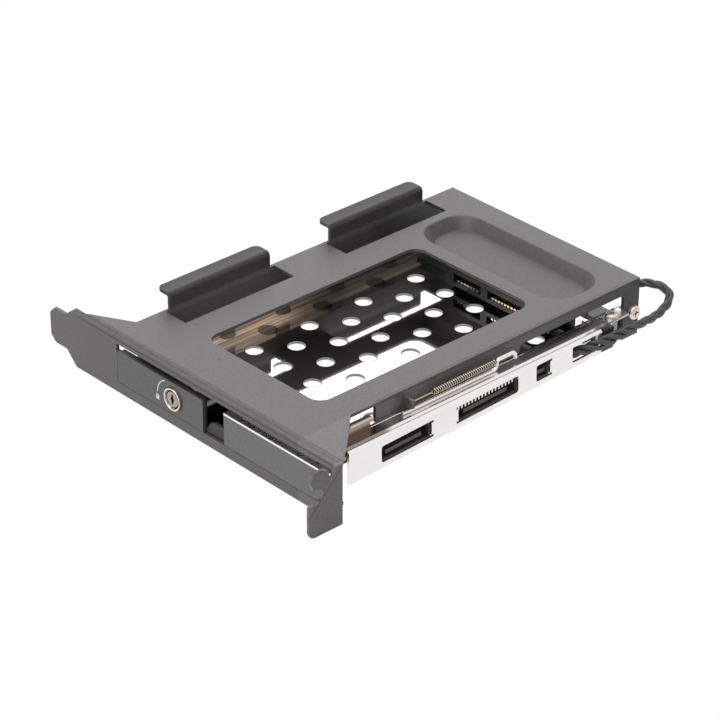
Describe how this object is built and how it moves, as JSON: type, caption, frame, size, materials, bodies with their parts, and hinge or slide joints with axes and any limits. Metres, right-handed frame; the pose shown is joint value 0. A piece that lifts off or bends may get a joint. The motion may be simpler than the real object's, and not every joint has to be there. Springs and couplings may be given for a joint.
{
  "type": "hot swap drive cage",
  "caption": "Slot-mounted drive cage: bent bracket and cover with a window, perforated tray, locking front door that works an ejector, side port rail and rear cable.",
  "frame": {"origin": "on the bracket's front face, at the middle of the drive bay, level with the bracket's bottom edge", "axes": "+X along the bracket from its tongue to its screw flange, +Y from the front face into the computer, +Z across the bracket's width, out of the cover's top"},
  "size_m": [0.12, 0.1481, 0.0234],
  "materials": {
    "black_paint": "fine matt powder coat",
    "stainless": "bright cold rolled",
    "plated": "zinc plated",
    "lock_chrome": "polished",
    "spring_steel": "drawn wire",
    "board": "solder resist",
    "black_plastic": "moulded",
    "gold": "gold plated",
    "cable_black": "sleeved wires"
  },
  "bodies": {
    "cage": {"cover_bracket": "black_paint", "drive_tray": "stainless", "side_rail": "stainless", "hinge_pin": "plated", "spring_hook": "spring_steel", "backplane_board": "board", "drive_connector": "black_plastic", "drive_contacts": "gold", "side_board": "board", "port_front": "black_plastic", "port_middle": "black_plastic", "port_rear": "black_plastic", "port_contacts": "gold", "cable_boot": "black_plastic", "cable_header": "black_plastic", "cable": "cable_black", "wall_screws": "plated", "ledge_screw": "plated"},
    "door": {"lock_panel": "black_paint", "pull_flap": "black_paint", "door_backing_plate": "black_paint", "flap_trim": "stainless", "link_pin": "plated", "lock_housing": "lock_chrome"},
    "lock": {"lock_plug": "lock_chrome", "lock_cam": "plated"},
    "ejector": {"eject_slide": "plated", "eject_rod": "spring_steel", "eject_spring": "spring_steel"}
  },
  "joints": [
    {"name": "door_hinge", "type": "hinge", "parent": "cage", "child": "door", "pos_m": [0.0472, 0.0032, 0.0086], "axis": [0, 0, 1], "range_deg": [0, 90]},
    {"name": "lock_turn", "type": "hinge", "parent": "door", "child": "lock", "pos_m": [-0.0124, 0, 0.00838], "axis": [0, 1, 0], "range_deg": [0, 90]},
    {"name": "eject_travel", "type": "slide", "parent": "cage", "child": "ejector", "axis": [0, -1, 0], "range_m": [0, 0.00849], "deforming": ["eject_spring"]}
  ],
  "couplings": [
    {"joint": "eject_travel", "follows": "door_hinge", "m_per_rad": 0.0054019}
  ]
}
